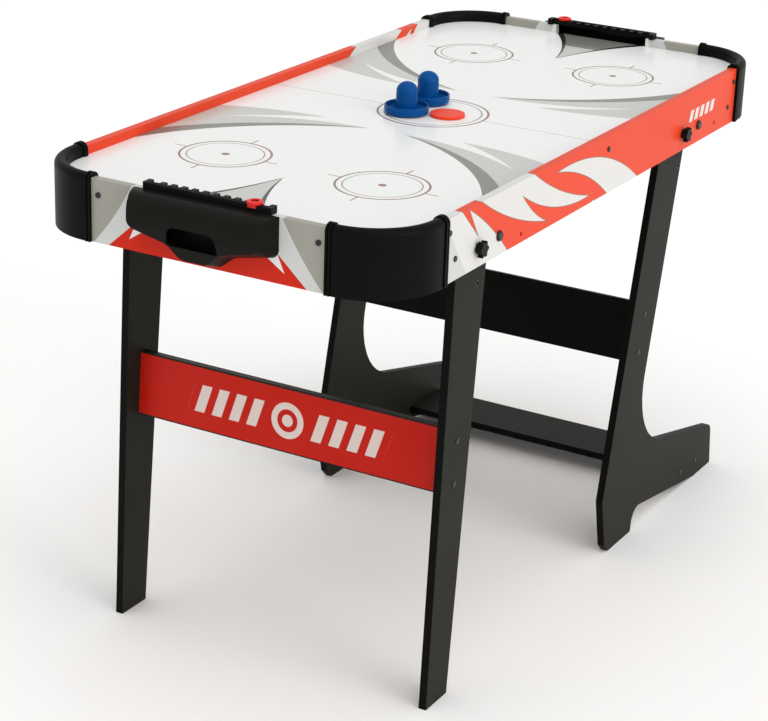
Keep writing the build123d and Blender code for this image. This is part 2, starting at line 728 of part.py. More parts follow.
with BuildPart() as l_leg_inserts:
    leg_inserts(l_pivot)
save(l_leg_inserts, "l_leg_inserts")

# ---- locking knobs ------------------------------------------------------------------
LOBES = 6
LOBE_R = 3.2
HUB_R = 9.4
BOSS_R = 7.5
BOSS_LONG = 3.5
HEAD_LONG = 7.5
STUD_SEAT = 7.0  # depth of the stud in its knob
knob_face_x = half_x + 0.5
for end, sy in ENDS.items():
    for side, sx in SIDES.items():
        knob_y, knob_z = offset_from((sy * PIVOT_Y, PIVOT_Z), KNOB_OFFSET)
        face = Plane(origin=(sx * knob_face_x, knob_y, knob_z), x_dir=(0, sx, 0), z_dir=(sx, 0, 0))
        with BuildPart() as lock_knob:
            with BuildSketch(face):
                Circle(BOSS_R)
            extrude(amount=BOSS_LONG)
            with BuildSketch(face.offset(BOSS_LONG)):
                Circle(HUB_R)
                with PolarLocations(HUB_R - 0.4, LOBES):
                    Circle(LOBE_R)
            extrude(amount=HEAD_LONG)
            fillet(lock_knob.faces().sort_by(Axis.X)[-1 if sx > 0 else 0].edges(), 1.2)
            with BuildSketch(face):
                Circle(STUD_R)
            extrude(amount=STUD_SEAT, mode=Mode.SUBTRACT)
        save(lock_knob, f"lock_knob_{end}_{side}")
        with BuildPart() as lock_stud:
            with BuildSketch(face.offset(STUD_SEAT)):
                Circle(STUD_R - 0.02)
            extrude(amount=-(knob_face_x + STUD_SEAT - leg_out - 0.6))
        save(lock_stud, f"lock_stud_{end}_{side}")

# ---- puck and pushers ---------------------------------------------------------------
PUCK_THICK = 4.5
with BuildPart() as puck:
    with BuildSketch(Plane.XY.offset(play_z + AIR_GAP)):
        with Locations(PUCK_AT):
            Circle(PUCK_RADIUS)
    extrude(amount=PUCK_THICK)
    fillet(puck.edges(), 0.9)
save(puck, "puck")

PUSHER_RIM = 12.5
PUSHER_HEIGHT = 49.0
KNOB_R = 15.0
DOME_R = 14.4
FELT = 1.5
for name, (px, py) in PUSHERS.items():
    base_z = play_z + AIR_GAP + FELT
    dome_z = play_z + AIR_GAP + PUSHER_HEIGHT - DOME_R
    with BuildPart() as pusher:
        with BuildSketch(Plane(origin=(px, py, 0), x_dir=(1, 0, 0), z_dir=(0, -1, 0))):
            with BuildLine():
                Polyline((0, base_z), (PUSHER_RADIUS - 2.5, base_z), (PUSHER_RADIUS, base_z + 2.5),
                         (PUSHER_RADIUS, base_z + PUSHER_RIM), (PUSHER_RADIUS - 2.8, base_z + PUSHER_RIM),
                         (PUSHER_RADIUS - 4.2, base_z + 4), (KNOB_R + 1.5, base_z + 4),
                         (KNOB_R, base_z + 8), (DOME_R, dome_z))
                CenterArc((0, dome_z), DOME_R, 0, 90)
                Line((0, dome_z + DOME_R), (0, base_z))
            make_face()
        revolve(axis=Axis((px, py, 0), (0, 0, 1)))
    save(pusher, f"pusher_{name}")
    with BuildPart() as felt_pad:
        with BuildSketch(Plane.XY.offset(play_z + AIR_GAP)):
            with Locations((px, py)):
                Circle(PUSHER_RADIUS - 4)
        extrude(amount=FELT)
    save(felt_pad, f"felt_pad_{name}")
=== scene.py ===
from math import hypot, pi, radians

import bpy
import numpy as np
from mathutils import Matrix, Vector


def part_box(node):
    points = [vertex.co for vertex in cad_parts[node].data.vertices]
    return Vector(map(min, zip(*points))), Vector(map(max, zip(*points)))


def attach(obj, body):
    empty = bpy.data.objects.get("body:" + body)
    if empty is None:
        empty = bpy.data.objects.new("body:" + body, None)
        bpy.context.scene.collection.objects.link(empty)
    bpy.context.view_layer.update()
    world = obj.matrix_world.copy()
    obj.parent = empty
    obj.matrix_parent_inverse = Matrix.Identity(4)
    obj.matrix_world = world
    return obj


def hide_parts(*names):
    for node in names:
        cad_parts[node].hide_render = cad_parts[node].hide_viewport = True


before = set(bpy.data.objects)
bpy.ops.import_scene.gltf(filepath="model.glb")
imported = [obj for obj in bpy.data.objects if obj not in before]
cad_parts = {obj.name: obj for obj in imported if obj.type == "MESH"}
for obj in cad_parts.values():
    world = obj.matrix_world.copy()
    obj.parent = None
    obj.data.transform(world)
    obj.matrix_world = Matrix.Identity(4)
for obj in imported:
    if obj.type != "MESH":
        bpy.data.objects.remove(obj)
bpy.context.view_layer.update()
print("frame loaded with", len(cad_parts), "nodes")

# places read from the frame, in millimetres, as all prints and grains are
perMetre = 1000
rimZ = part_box("side_apron_right")[1].z * perMetre
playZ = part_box("playfield")[1].z * perMetre
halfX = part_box("side_apron_right")[1].x * perMetre
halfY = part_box("end_apron_far")[1].y * perMetre
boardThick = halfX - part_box("side_apron_right")[0].x * perMetre

ends = ("near", "far")
sides = ("left", "right")
corners = [f"{end}_{side}" for end in ends for side in sides]


def each(stem, places):
    # the names of one kind of piece at several places
    return [stem + place for place in places]


def tint(red, green, blue):
    # screen values from 0 to 255 turned to the linear values that shaders use
    share = np.array((red, green, blue)) / 255
    linear = np.where(share < 0.04045, share / 12.92, ((share + 0.055) / 1.055) ** 2.4)
    return (*linear.tolist(), 1.0)


class Wire:
    # one output of a node; sums on it add Math nodes
    def __init__(self, finish, socket):
        self.finish = finish
        self.socket = socket

    def outlet(self, name):
        return Wire(self.finish, self.socket.node.outputs[name])

    def __add__(self, other):
        return maths("ADD", self, other)

    def __sub__(self, other):
        return maths("SUBTRACT", self, other)

    def __rsub__(self, other):
        return maths("SUBTRACT", other, self)

    def __mul__(self, other):
        return maths("MULTIPLY", self, other)

    def __truediv__(self, other):
        return maths("DIVIDE", self, other)

    def __rtruediv__(self, other):
        return maths("DIVIDE", other, self)

    def __mod__(self, other):
        return maths("FLOORED_MODULO", self, other)

    def __abs__(self):
        return maths("ABSOLUTE", self)

    def __neg__(self):
        return maths("MULTIPLY", self, -1)

    def __gt__(self, other):
        return maths("GREATER_THAN", self, other)

    def __lt__(self, other):
        return maths("LESS_THAN", self, other)

    __radd__ = __add__
    __rmul__ = __mul__


def maths(operation, *terms, clamp=False):
    finish = next(term.finish for term in terms if isinstance(term, Wire))
    settings = {"operation": operation, "use_clamp": clamp}
    return finish.node("ShaderNodeMath", settings, dict(enumerate(terms)))


def lowest(*terms):
    least = terms[0]
    for term in terms[1:]:
        least = maths("MINIMUM", least, term)
    return least


def highest(*terms):
    most = terms[0]
    for term in terms[1:]:
        most = maths("MAXIMUM", most, term)
    return most


class Finish:
    # a material being made: its nodes, its shader and places on the object in millimetres
    def __init__(self, name):
        self.material = bpy.data.materials.new(name)
        self.material.use_nodes = True
        self.tree = self.material.node_tree
        self.shader = self.tree.nodes["Principled BSDF"]
        metres = self.node("ShaderNodeTexCoord", {}, {}, "Object")
        sockets = {0: metres, "Scale": perMetre}
        self.place = self.node("ShaderNodeVectorMath", {"operation": "SCALE"}, sockets)
        self.x = self.node("ShaderNodeSeparateXYZ", {}, {0: self.place})
        self.y = self.x.outlet("Y")
        self.z = self.x.outlet("Z")

    def node(self, kind, settings, sockets, outlet=0):
        made = self.tree.nodes.new(kind)
        for key, value in settings.items():
            setattr(made, key, value)
        for key, value in sockets.items():
            if isinstance(value, Wire):
                self.tree.links.new(value.socket, made.inputs[key])
            else:
                made.inputs[key].default_value = value
        return Wire(self, made.outputs[outlet])

    def flat(self, u, v):
        # a vector that holds two running sizes, for edges drawn in their plane
        return self.node("ShaderNodeCombineXYZ", {}, {0: u, 1: v})

    def away(self, plane, point=(0, 0)):
        # distance in the plane from a point
        sockets = {0: plane, 1: (*point, 0)}
        return self.node("ShaderNodeVectorMath", {"operation": "DISTANCE"}, sockets, "Value")

    def clouds(self, size, detail=3, stretch=(1, 1, 1)):
        # noise from 0 to 1 whose clouds are about size millimetres wide, longer where stretch is small
        scale = [part / size for part in stretch]
        spot = self.node("ShaderNodeMapping", {}, {"Vector": self.place, "Scale": scale})
        return self.node("ShaderNodeTexNoise", {}, {"Vector": spot, "Scale": 1, "Detail": detail})

    def mix(self, mask, under, over):
        # a Mix node's colours are its sockets 6 and 7 and its outlet 2
        return self.node("ShaderNodeMix", {"data_type": "RGBA"}, {0: mask, 6: under, 7: over}, 2)

    def relief(self, height, depth):
        # bump whose full height is depth millimetres
        sockets = {"Height": height, "Distance": depth / perMetre, "Strength": 1}
        self.wear({"Normal": self.node("ShaderNodeBump", {}, sockets)})

    def wear(self, values):
        for key, value in values.items():
            if isinstance(value, Wire):
                self.tree.links.new(value.socket, self.shader.inputs[key])
            else:
                self.shader.inputs[key].default_value = value

    def onto(self, *names):
        for name in names:
            piece = bpy.data.objects[name]
            piece.data.materials.clear()
            piece.data.materials.append(self.material)


def circleThrough(a, b, c):
    # centre and radius of the circle through three points, from their perpendicular bisectors
    squares = [hypot(*point) ** 2 for point in (a, b, c)]
    twist = 2 * (a[0] * (b[1] - c[1]) + b[0] * (c[1] - a[1]) + c[0] * (a[1] - b[1]))
    middleU = squares[0] * (b[1] - c[1]) + squares[1] * (c[1] - a[1]) + squares[2] * (a[1] - b[1])
    middleV = squares[0] * (c[0] - b[0]) + squares[1] * (a[0] - c[0]) + squares[2] * (b[0] - a[0])
    centre = (middleU / twist, middleV / twist)
    return centre, hypot(a[0] - centre[0], a[1] - centre[1])


def edge(plane, points, spot):
    # distance to the line through two points or the arc through three, below zero on the spot's side
    finish = plane.finish
    if len(points) == 3:
        centre, radius = circleThrough(*points)
        away = finish.away(plane, centre)
        keptInside = hypot(spot[0] - centre[0], spot[1] - centre[1]) < radius
        return away - radius if keptInside else radius - away
    (startU, startV), (endU, endV) = points
    length = hypot(endU - startU, endV - startV)
    normal = ((endV - startV) / length, (startU - endU) / length)
    offset = normal[0] * startU + normal[1] * startV
    if normal[0] * spot[0] + normal[1] * spot[1] > offset:
        normal = (-normal[0], -normal[1])
        offset = -offset
    settings = {"operation": "DOT_PRODUCT"}
    return finish.node("ShaderNodeVectorMath", settings, {0: plane, 1: (*normal, 0)}, "Value") - offset


def patch(plane, look, spot, *names):
    # distance to the shape that has the named edges and holds the spot, below zero inside it
    return highest(*[edge(plane, look[name], look[spot]) for name in names])


def within(*edges, blur=0.5):
    # 1 inside every edge and 0 outside, fading over blur millimetres
    return maths("SUBTRACT", 0.5, highest(*edges) / blur, clamp=True)


def ring(away, radius, halfWidth):
    # 1 on a band about one radius
    return within(abs(away - radius) - halfWidth)


# printed foil on the aprons and the cross panel
foil = {
    "cloudSize": 70,
    "cloudShare": 0.05,
    "cloudShade": (0.25, 0.25, 0.24, 1),
    "roughnessDrift": 0.12,
    "gloss": 0.1,
    "grainSize": 1.6,
    "peelSize": 9,
    "peelShare": 1.5,
    "depth": 0.04,
    "backing": tint(206, 203, 196),
    "backingDrop": 1,
}


def foilSkin(finish, colour, roughness):
    # the given colour with faint clouds, a roughness that drifts, and orange-peel relief
    drift = finish.clouds(foil["cloudSize"])
    finish.wear({
        "Base Color": finish.mix(drift * foil["cloudShare"], colour, foil["cloudShade"]),
        "Roughness": roughness + (drift - 0.5) * foil["roughnessDrift"],
        "Specular IOR Level": foil["gloss"],
    })
    peel = finish.clouds(foil["peelSize"], 2) * foil["peelShare"]
    finish.relief(finish.clouds(foil["grainSize"], 2) + peel, foil["depth"])


def backed(finish, colour, outward, outside):
    # paper backing on the inner half of a board, from just below the playing surface down
    inner = abs(outward) < outside - boardThick / 2
    low = finish.z < playZ - foil["backingDrop"]
    return finish.mix(lowest(inner, low), colour, foil["backing"])


# side aprons: white flames on red, the same print on both, turned half round on the left; places are
# (along the table, above the rim), and each spot lies inside its shape
sidePrint = {
    "white": tint(212, 210, 206),
    # the red print, made lighter and paler than the end aprons' red: painted light and reflection on the
    # lit sides
    "red": tint(221, 64, 30),
    "outline": tint(122, 92, 78),
    "grey": tint(196, 197, 194),
    "roughness": 0.34,
    "capWedge": [(-484, -22), (-437, -85)],
    "wedgeSpot": (-490, -60),
    "strokeLeft": [(-452, 0), (-409, -41)],
    "strokeRight": [(-434, 0), (-408, -40)],
    "strokeSpot": (-439, -8),
    "footOver": [(-436, 0), (-361, -49), (-317, -88)],
    "footSpot": (-480, -50),
    "sweepUnder": [(-398, 0), (-320, -40), (-205, -77)],
    "sweepOver": [(-243, 0), (-160, -43), (-50, -78)],
    "sweepSpot": (-300, -20),
    "sweepEnd": -42,
    "tongueUnder": [(-276, -23), (-250, -47), (-200, -77)],
    "tongueOver": [(-276, -23), (-200, -57), (-80, -77)],
    "tongueSpot": (-200, -65),
    "crestUnder": [(-168, -16), (-80, -41), (0, -86)],
    "crestOver": [(-168, -15), (0, -34), (110, -87)],
    "crestSpot": (-60, -30),
    "outlineHalf": 0.6,
    "outlineShare": 0.8,
    "barsStart": 322,
    "barsPitch": 21,
    "barsWidth": 13,
    "barsCount": 5,
    "barsSlant": 0.35,
    "barsMiddle": -40,
    "barsHalf": 9,
}


def sideBoard(side, turn):
    # distance to the white shape = foot or sweep, less tongue and stroke, or crest; each is the highest
    # of its edges; a thin outline stands where that distance is near zero
    finish = Finish("sideBoardPrint_" + side)
    look = sidePrint
    along = finish.y * turn
    rise = finish.z - rimZ
    plane = finish.flat(along, rise)
    foot = highest(patch(plane, look, "footSpot", "footOver"), along - look["footOver"][2][0])
    sweep = highest(patch(plane, look, "sweepSpot", "sweepUnder", "sweepOver"), along - look["sweepEnd"])
    tongue = patch(plane, look, "tongueSpot", "tongueUnder", "tongueOver")
    stroke = patch(plane, look, "strokeSpot", "strokeLeft", "strokeRight")
    crest = patch(plane, look, "crestSpot", "crestUnder", "crestOver")
    flames = lowest(highest(lowest(foot, sweep), -lowest(tongue, stroke)), crest)
    colour = finish.mix(within(flames), look["red"], look["white"])
    outline = within(abs(flames) - look["outlineHalf"]) * look["outlineShare"]
    colour = finish.mix(outline, colour, look["outline"])
    # grey wedge by the cap where the print starts
    wedge = within(patch(plane, look, "wedgeSpot", "capWedge"))
    colour = finish.mix(wedge, colour, look["grey"])
    # slanted bars by the other cap, each a stretch of one slanted saw
    slanted = along - rise * look["barsSlant"] - look["barsStart"]
    barsEnd = look["barsCount"] * look["barsPitch"]
    bars = within(slanted % look["barsPitch"] - look["barsWidth"], -slanted, slanted - barsEnd,
                  abs(rise - look["barsMiddle"]) - look["barsHalf"])
    colour = finish.mix(bars, colour, look["white"])
    foilSkin(finish, backed(finish, colour, finish.x, halfX), look["roughness"])
    finish.onto("side_apron_" + side)


sideBoard("right", 1)
sideBoard("left", -1)

# end aprons: warm grey panels at the caps and a red field under the goal; places are
# (across from the middle, above the rim)
endPrint = {
    "pale": tint(205, 206, 203),
    "panel": tint(158, 156, 147),
    # the red print, made darker and deeper than the side aprons' red: painted shade on the ends
    "red": tint(205, 34, 5),
    "white": tint(229, 230, 227),
    "roughness": 0.34,
    "panelEdge": [(118, 0), (142, -40), (178, -86)],
    "panelSpot": (180, -20),
    "fieldEdge": [(156, -89), (108, -46)],
    "fieldSpot": (0, -80),
    "splinterOut": [(122, -74), (111, -50)],
    "splinterIn": [(122, -74), (94, -56)],
    "splinterSpot": (106, -58),
}


def endBoard(end):
    # the same on both halves: pale ground, a panel outside an arc, red below a line, a splinter in it
    finish = Finish("endBoardPrint_" + end)
    look = endPrint
    plane = finish.flat(abs(finish.x), finish.z - rimZ)
    panel = within(patch(plane, look, "panelSpot", "panelEdge"))
    colour = finish.mix(panel, look["pale"], look["panel"])
    field = within(patch(plane, look, "fieldSpot", "fieldEdge"))
    colour = finish.mix(field, colour, look["red"])
    splinter = within(patch(plane, look, "splinterSpot", "splinterOut", "splinterIn"))
    colour = finish.mix(splinter, colour, look["white"])
    foilSkin(finish, backed(finish, colour, finish.y, halfY), look["roughness"])
    finish.onto("end_apron_" + end)


for end in ends:
    endBoard(end)
print("aprons printed")

# playing surface: the same quarter four times; places are (u along the table, v across it)
fieldPrint = {
    "white": tint(233, 234, 232),
    "pale": tint(190, 192, 186),
    # dark is the blades' print colour, and also the painted shade on the spear by each goal
    "dark": tint(118, 119, 112),
    "ink": tint(30, 30, 29),
    "ringRed": tint(138, 100, 93),
    "ringGrey": tint(138, 138, 134),
    "line": tint(178, 160, 158),
    "board": tint(150, 116, 80),
    "bladeOver": [(330, 257), (200, 145), (136, 28)],
    "bladeUnder": [(282, 257), (200, 170), (136, 28)],
    "bladeSpot": (200, 157),
    "wingUnder": [(136, 28), (160, 160), (200, 236)],
    "wingSpot": (190, 190),
    "finOver": [(121, 115), (150, 172), (200, 237)],
    "finUnder": [(121, 115), (130, 200), (147, 257)],
    "finSpot": (145, 190),
    "spearOuter": [(418, 0), (500, 26), (600, 85)],
    "spearInner": [(430, 1), (530, 33), (600, 71)],
    "spearSpot": (550, 0),
    "spearStart": 400,
    # where the painted shade from the goal starts darkening the spear, farther out at the far end
    "paintedShadeStart": {"near": 545, "far": 518},
    "inkSpot": (590, 74),
    "inkStart": 430,
    "facePlace": (373, 127.5),
    "faceRing": (65, 1.7),
    "faceInner": (55, 1.0),
    "faceDot": 6,
    "tick": (64, 86),
    "tickHalf": 1.2,
    "centreRing": (84, 1.8),
    "centreInner": (74, 1.2),
    "lineHalf": 0.9,
    "holePitch": 25.4,
    "holeRadius": 0.55,
    "holeBlur": 0.3,
    "holeShare": 0.75,
    "printSkin": 0.5,
    "cloudSize": 90,
    "cloudShare": 0.03,
    "cloudShade": (0.5, 0.5, 0.5, 1),
    "roughness": 0.24,
    "roughnessDrift": 0.08,
    "bareRoughness": 0.5,
    "gloss": 0.35,
    "waveSize": 14,
    "waveShare": 0.3,
    "depth": 0.12,
}


def fieldShapes(finish, plane, u):
    # each shape is the space between two arcs, or inside one arc past a line across the table
    look = fieldPrint
    wing = within(patch(plane, look, "wingSpot", "bladeUnder", "wingUnder"))
    fin = within(patch(plane, look, "finSpot", "finOver", "finUnder"))
    spearSide = patch(plane, look, "spearSpot", "spearOuter")
    spear = within(spearSide, look["spearStart"] - u)
    colour = finish.mix(highest(wing, fin, spear), look["white"], look["pale"])
    blade = within(patch(plane, look, "bladeSpot", "bladeOver", "bladeUnder"))
    # painted shade: the spear is dark from here to the goal, starting nearer the tip at the far end
    near, far = [look["paintedShadeStart"][end] for end in ends]
    paintedShadeStart = near + (finish.y > 0) * (far - near)
    paintedShade = within(spearSide, paintedShadeStart - u)
    colour = finish.mix(highest(blade, paintedShade), colour, look["dark"])
    inkSides = patch(plane, look, "inkSpot", "spearOuter", "spearInner")
    return finish.mix(within(inkSides, look["inkStart"] - u), colour, look["ink"])


def fieldRings(finish, plane, u, v, colour):
    # rings are bands about a distance; four ticks cross each face-off ring
    look = fieldPrint
    faceU, faceV = look["facePlace"]
    faceAway = finish.away(plane, look["facePlace"])
    lesser = lowest(abs(u - faceU), abs(v - faceV))
    greater = highest(abs(u - faceU), abs(v - faceV))
    tick = within(lesser - look["tickHalf"], look["tick"][0] - greater, greater - look["tick"][1])
    dot = within(faceAway - look["faceDot"])
    colour = finish.mix(highest(ring(faceAway, *look["faceRing"]), tick, dot), colour, look["ringRed"])
    middleAway = finish.away(plane)
    colour = finish.mix(ring(middleAway, *look["centreRing"]), colour, look["ringRed"])
    line = within(u - look["lineHalf"], look["centreRing"][0] - middleAway)
    colour = finish.mix(line, colour, look["line"])
    inner = highest(ring(faceAway, *look["faceInner"]), ring(middleAway, *look["centreInner"]))
    return finish.mix(inner, colour, look["ringGrey"])


def airHoles(finish):
    # a hole stands in the middle of every square of the pitch
    look = fieldPrint
    pitch = look["holePitch"]
    along = abs(finish.y % pitch - pitch / 2)
    across = abs(finish.x % pitch - pitch / 2)
    return within(finish.away(finish.flat(along, across)) - look["holeRadius"], blur=look["holeBlur"])


def playingSurface():
    # white printed face with shapes, rings and air holes, and bare board on the edges and below
    finish = Finish("playingSurfacePrint")
    look = fieldPrint
    u = abs(finish.y)
    v = abs(finish.x)
    plane = finish.flat(u, v)
    hole = airHoles(finish)
    onTop = finish.z > playZ - look["printSkin"]
    colour = fieldRings(finish, plane, u, v, fieldShapes(finish, plane, u))
    colour = finish.mix(hole * look["holeShare"], colour, look["ink"])
    colour = finish.mix(onTop, look["board"], colour)
    drift = finish.clouds(look["cloudSize"])
    printed = look["roughness"] + (drift - 0.5) * look["roughnessDrift"]
    finish.wear({
        "Base Color": finish.mix(drift * look["cloudShare"], colour, look["cloudShade"]),
        "Roughness": printed + (1 - onTop) * look["bareRoughness"],
        "Specular IOR Level": look["gloss"],
    })
    finish.relief(finish.clouds(look["waveSize"], 2) * look["waveShare"] - hole, look["depth"])
    finish.onto("playfield")


playingSurface()
print("playing surface printed")

# bare pressed board inside the table
fibreBoard = {
    "brown": tint(158, 122, 84),
    "fibre": tint(196, 160, 118),
    "dark": tint(112, 82, 54),
    "fibreSize": 3,
    "fibreDraw": (1, 0.25, 1),
    "fibreShare": 0.5,
    "cloudSize": 40,
    "cloudShare": 0.35,
    "roughness": 0.78,
    "fibreRoughness": 0.15,
    "depth": 0.15,
    "pieces": ["playfield_battens", "leg_blocks", "corner_gussets", "air_chamber_frame",
               "air_chamber_floor"],
}


def bareBoard():
    # short pale fibres drawn out along the table, over broad brown clouds
    finish = Finish("bareBoard")
    look = fibreBoard
    fibres = finish.clouds(look["fibreSize"], 4, look["fibreDraw"])
    clouds = finish.clouds(look["cloudSize"])
    pale = finish.mix(fibres * look["fibreShare"], look["brown"], look["fibre"])
    finish.wear({
        "Base Color": finish.mix(clouds * look["cloudShare"], pale, look["dark"]),
        "Roughness": look["roughness"] + fibres * look["fibreRoughness"],
    })
    finish.relief(fibres, look["depth"])
    finish.onto(*look["pieces"])


bareBoard()

# legs and their black cross boards
legLook = {
    "black": tint(22, 22, 18),
    "worn": tint(58, 58, 52),
    # near black on faces that do not look along the axis: edge band on the legs and painted shade there
    # too
    "edgeBandAndShade": tint(3, 3, 2),
    "roughness": 0.5,
    "roughnessDrift": 0.18,
    "gloss": 0.08,
    "grainSize": 0.9,
    "grainDraw": (1, 0.4, 0.12),
    "grainShare": 0.1,
    "cloudSize": 120,
    "cloudShare": 0.22,
    "pressSize": 6,
    "depth": 0.05,
    "faceTurn": 0.7,
}


def blackFoil(name, axis, *names):
    # black foil with a fine upright grain, greyer where clouds are high; wherever the surface does not
    # look along the axis it is near black: partly the boards' edge band, partly painted shade on faces
    # turned from the light
    finish = Finish(name)
    look = legLook
    grain = finish.clouds(look["grainSize"], 3, look["grainDraw"])
    clouds = finish.clouds(look["cloudSize"])
    normal = finish.node("ShaderNodeNewGeometry", {}, {}, "Normal")
    turned = finish.node("ShaderNodeSeparateXYZ", {}, {0: normal}).outlet(axis)
    facingAxis = abs(turned) > look["faceTurn"]
    worn = clouds * look["cloudShare"] + grain * look["grainShare"]
    finish.wear({
        "Base Color": finish.mix(facingAxis, look["edgeBandAndShade"], finish.mix(worn, look["black"], look["worn"])),
        "Roughness": look["roughness"] + (grain - 0.5) * look["roughnessDrift"],
        "Specular IOR Level": look["gloss"],
    })
    finish.relief(grain + finish.clouds(look["pressSize"], 2), look["depth"])
    finish.onto(*names)


blackFoil("legFoil", "X", *each("i_leg_", sides), *each("l_leg_", sides))
# on the cross boards the near black covers their upright faces: painted shade
blackFoil("panelFoil", "Z", "l_leg_panel", "foot_panel")

# red cross panel and its badge
badge = {
    "red": tint(192, 22, 2),
    "pale": tint(222, 206, 198),
    "roughness": 0.36,
    "barsGap": 46,
    "barsPitch": 30,
    "barsWidth": 17,
    "barsCount": 4,
    "barsSlant": 0.3,
    "barsHalf": 21,
    "ring": (22, 5),
    "eye": 9,
    "faceHalf": 46.5,
}


def crossPanel():
    # red face with a generic badge: slanted bars on both sides of a ring; black board edges
    finish = Finish("crossPanelPrint")
    look = badge
    low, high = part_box("i_leg_panel")
    rise = finish.z - (low.z + high.z) / 2 * perMetre
    outward = abs(finish.x - rise * look["barsSlant"]) - look["barsGap"]
    barsEnd = look["barsCount"] * look["barsPitch"]
    bars = within(outward % look["barsPitch"] - look["barsWidth"], -outward, outward - barsEnd,
                  abs(rise) - look["barsHalf"])
    away = finish.away(finish.flat(finish.x, rise))
    marks = highest(bars, ring(away, *look["ring"]), within(away - look["eye"]))
    colour = finish.mix(marks, look["red"], look["pale"])
    colour = finish.mix(within(look["faceHalf"] - abs(rise)), colour, legLook["black"])
    foilSkin(finish, colour, look["roughness"])
    finish.onto("i_leg_panel")


crossPanel()
print("legs covered")


def roundedProfile(corners, steps=6):
    # corners are (radius, height, rounding): each bend is a parabola (1-t)^2 A + 2t(1-t) C + t^2 B, where
    # A and B lie one rounding away from the corner C along its two sides
    points = np.array([corner[:2] for corner in corners])
    t = np.linspace(0, 1, steps)[:, None]
    runs = [points[:1]]
    for before, corner, after, (_, _, rounding) in zip(points, points[1:], points[2:], corners[1:-1]):
        first = corner + (before - corner) / np.linalg.norm(before - corner) * rounding
        last = corner + (after - corner) / np.linalg.norm(after - corner) * rounding
        runs.append((1 - t) ** 2 * first + 2 * t * (1 - t) * corner + t ** 2 * last)
    return np.concatenate([*runs, points[-1:]])


def turnedPiece(name, centre, profile, around=96):
    # surface of revolution: point = centre + (r cos a, r sin a, h), with one vertex at each pole
    angles = np.arange(around) * (2 * pi / around)
    radius, height = profile[1:-1, :1], profile[1:-1, 1:]
    grid = np.stack([radius * np.cos(angles), radius * np.sin(angles), height + 0 * angles], axis=-1)
    poles = np.array([(0, 0, profile[0, 1]), (0, 0, profile[-1, 1])])
    places = np.concatenate([grid.reshape(-1, 3), poles]) + centre
    rings = len(grid)
    here = np.arange(around)
    onward = (here + 1) % around
    row = np.arange(rings - 1)[:, None] * around
    bands = np.stack([row + here, row + onward, row + around + onward, row + around + here], axis=-1)
    last = (rings - 1) * around
    low = np.stack([onward, here, np.full(around, rings * around)], axis=-1)
    high = np.stack([last + here, last + onward, np.full(around, rings * around + 1)], axis=-1)
    mesh = bpy.data.meshes.new(name)
    mesh.from_pydata(places.tolist(), [], bands.reshape(-1, 4).tolist() + low.tolist() + high.tolist())
    mesh.shade_smooth()
    piece = bpy.data.objects.new(name, mesh)
    bpy.context.scene.collection.objects.link(piece)
    return piece


# pushers: a thin dished rim round a domed grip, sizes in metres above the foot
pusher = {
    "draft": 0.001,
    "taper": 0.0004,
    "footRound": 0.0018,
    "wallRound": 0.002,
    "rimWall": 0.0028,
    "rimHigh": 0.0125,
    "rimRound": 0.0011,
    "dishFloor": 0.0042,
    "dishRound": 0.0024,
    "gripFoot": 0.0172,
    "gripNeck": 0.006,
    "gripRadius": 0.0163,
    "gripRound": 0.003,
    "domeStart": 0.033,
    "domeSteps": 24,
}


def pusherProfile(radius, height):
    # foot, outer wall, rim, dish and neck are rounded corners; the dome is r = R cos b, h = h0 + H sin b
    look = pusher
    draft, taper, floor, rimHigh = [look[name] for name in ("draft", "taper", "dishFloor", "rimHigh")]
    inner = radius - look["rimWall"]
    bends = [
        (0, 0, 0),
        (radius - draft, 0, look["footRound"]),
        (radius, rimHigh / 2, look["wallRound"]),
        (radius - taper, rimHigh, look["rimRound"]),
        (inner, rimHigh, look["rimRound"]),
        (inner - draft, floor, look["dishRound"]),
        (look["gripFoot"] + draft, floor, look["gripRound"]),
        (look["gripRadius"] + taper, floor + look["gripNeck"], look["gripRound"]),
        (look["gripRadius"], look["domeStart"] - draft, 0),
    ]
    lift = np.linspace(0, pi / 2, look["domeSteps"])[:, None]
    domeHigh = height - look["domeStart"]
    dome = np.hstack([look["gripRadius"] * np.cos(lift), look["domeStart"] + domeHigh * np.sin(lift)])
    dome[-1, 0] = 0
    return np.concatenate([roundedProfile(bends), dome])


def madePusher(end):
    low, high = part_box("pusher_" + end)
    centre = ((low.x + high.x) / 2, (low.y + high.y) / 2, low.z)
    profile = pusherProfile((high.x - low.x) / 2, high.z - low.z)
    piece = turnedPiece("turnedPusher_" + end, centre, profile)
    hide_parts("pusher_" + end)
    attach(piece, "pusher_" + end)


for end in ends:
    madePusher(end)
print("pushers turned")

